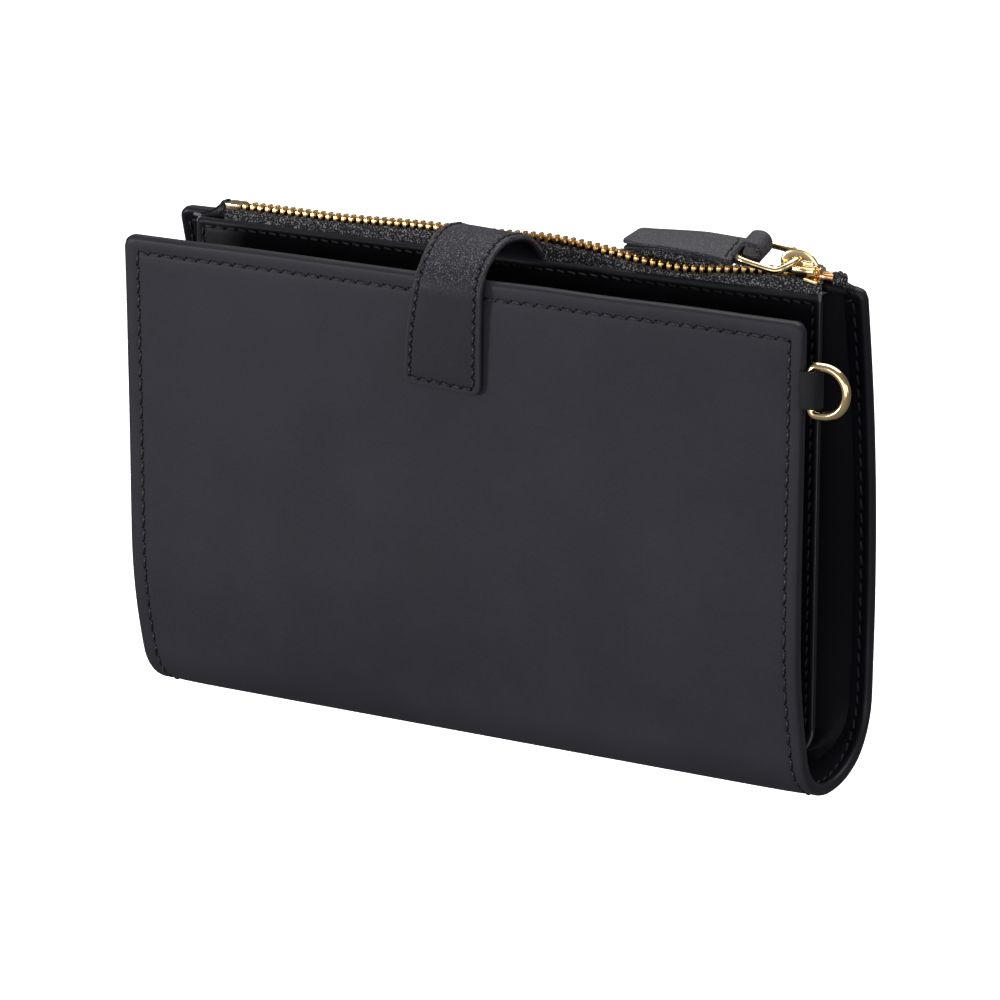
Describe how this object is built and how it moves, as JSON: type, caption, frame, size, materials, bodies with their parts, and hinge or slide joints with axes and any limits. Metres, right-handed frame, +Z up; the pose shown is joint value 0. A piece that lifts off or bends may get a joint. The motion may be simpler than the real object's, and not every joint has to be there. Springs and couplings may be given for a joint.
{
  "type": "wristlet wallet",
  "caption": "Folded leather wristlet wallet with a zip pocket, a snap strap over the front cover, card slots inside and a D-ring at its side.",
  "frame": {"origin": "middle of the strip that the wallet rests on, under its folded spine", "axes": "+X along the wallet towards the D-ring, +Y from the front cover to the rear cover, +Z up"},
  "size_m": [0.1974, 0.0428, 0.1299],
  "materials": {
    "leather": "semi-matte fine grain, painted edges",
    "lining_leather": "smooth matte",
    "board": "raw board, hidden inside the covers",
    "magnet": "plain, hidden inside the leather",
    "zip_tape": "woven tape",
    "zip_metal": "polished",
    "ring_metal": "polished, pale gold"
  },
  "bodies": {
    "rear_cover": {"rear_cover_leather": "leather", "rear_cover_lining": "lining_leather", "rear_cover_stiffener": "board", "pocket_front_wall": "leather", "strap_sewn_end": "leather", "pocket_cloth": "zip_tape", "pocket_floor": "leather", "pocket_gusset_left": "leather", "pocket_gusset_right": "leather", "zip_tape_front": "zip_tape", "zip_tape_rear": "zip_tape", "zip_teeth_front": "zip_metal", "zip_teeth_rear": "zip_metal", "zip_bottom_stop": "zip_metal", "zip_top_stops": "zip_metal", "tape_end_left": "zip_tape", "tape_end_right": "zip_tape"},
    "spine": {"spine_leather": "leather", "spine_lining": "lining_leather"},
    "front_cover": {"front_cover_leather": "leather", "front_cover_lining": "lining_leather", "front_cover_stiffener": "board", "front_snap_magnet": "magnet", "card_slot_left_1": "leather", "card_slot_left_2": "leather", "card_slot_left_3": "leather", "card_slot_right_1": "leather", "card_slot_right_2": "leather", "card_slot_right_3": "leather", "dring_keeper": "leather"},
    "strap": {"strap_outer": "leather", "strap_lining": "lining_leather", "strap_snap_magnet": "magnet"},
    "slider": {"slider_body": "zip_metal", "slider_crown": "zip_metal"},
    "pull_ring": {"pull_ring": "zip_metal"},
    "pull_tab": {"pull_tab_loop": "leather", "pull_tab_top": "leather", "pull_tab_bottom": "leather"},
    "d_ring": {"d_ring": "ring_metal"}
  },
  "joints": [
    {"name": "spine_fold", "type": "hinge", "parent": "rear_cover", "child": "spine", "pos_m": [0, 0.01551, 0.00518], "axis": [1, 0, 0], "range_deg": [0, 90], "deforming": ["strap_outer", "strap_lining", "strap_snap_magnet"]},
    {"name": "cover_fold", "type": "hinge", "parent": "spine", "child": "front_cover", "pos_m": [0, -0.00944, 0.00236], "axis": [1, 0, 0], "range_deg": [0, 90], "deforming": ["strap_outer", "strap_lining", "strap_snap_magnet"]},
    {"name": "strap_lift", "type": "hinge", "parent": "rear_cover", "child": "strap", "pos_m": [0, 0.0049, 0.1245], "axis": [-1, 0, 0], "range_deg": [0, 120], "deforming": ["strap_outer", "strap_lining", "strap_snap_magnet"]},
    {"name": "zip_slide", "type": "slide", "parent": "rear_cover", "child": "slider", "axis": [-1, 0, 0], "range_m": [0, 0.1485], "deforming": ["strap_outer", "strap_lining", "strap_snap_magnet", "zip_teeth_front", "zip_teeth_rear"]},
    {"name": "ring_swing", "type": "hinge", "parent": "slider", "child": "pull_ring", "pos_m": [0.0787, 0.0081, 0.12655], "axis": [0, 0.9903, 0.1392], "range_deg": [0, 110]},
    {"name": "tab_swing", "type": "hinge", "parent": "pull_ring", "child": "pull_tab", "pos_m": [0.06665, 0.00795, 0.12759], "axis": [0, 0.9903, 0.1392], "range_deg": [0, 70]},
    {"name": "dring_swing", "type": "hinge", "parent": "front_cover", "child": "d_ring", "pos_m": [0.09465, -0.017, 0.10265], "axis": [0, 0, 1], "range_deg": [-90, 90]}
  ],
  "couplings": [
    {"joint": "spine_fold", "follows": "cover_fold", "ratio": 1}
  ]
}
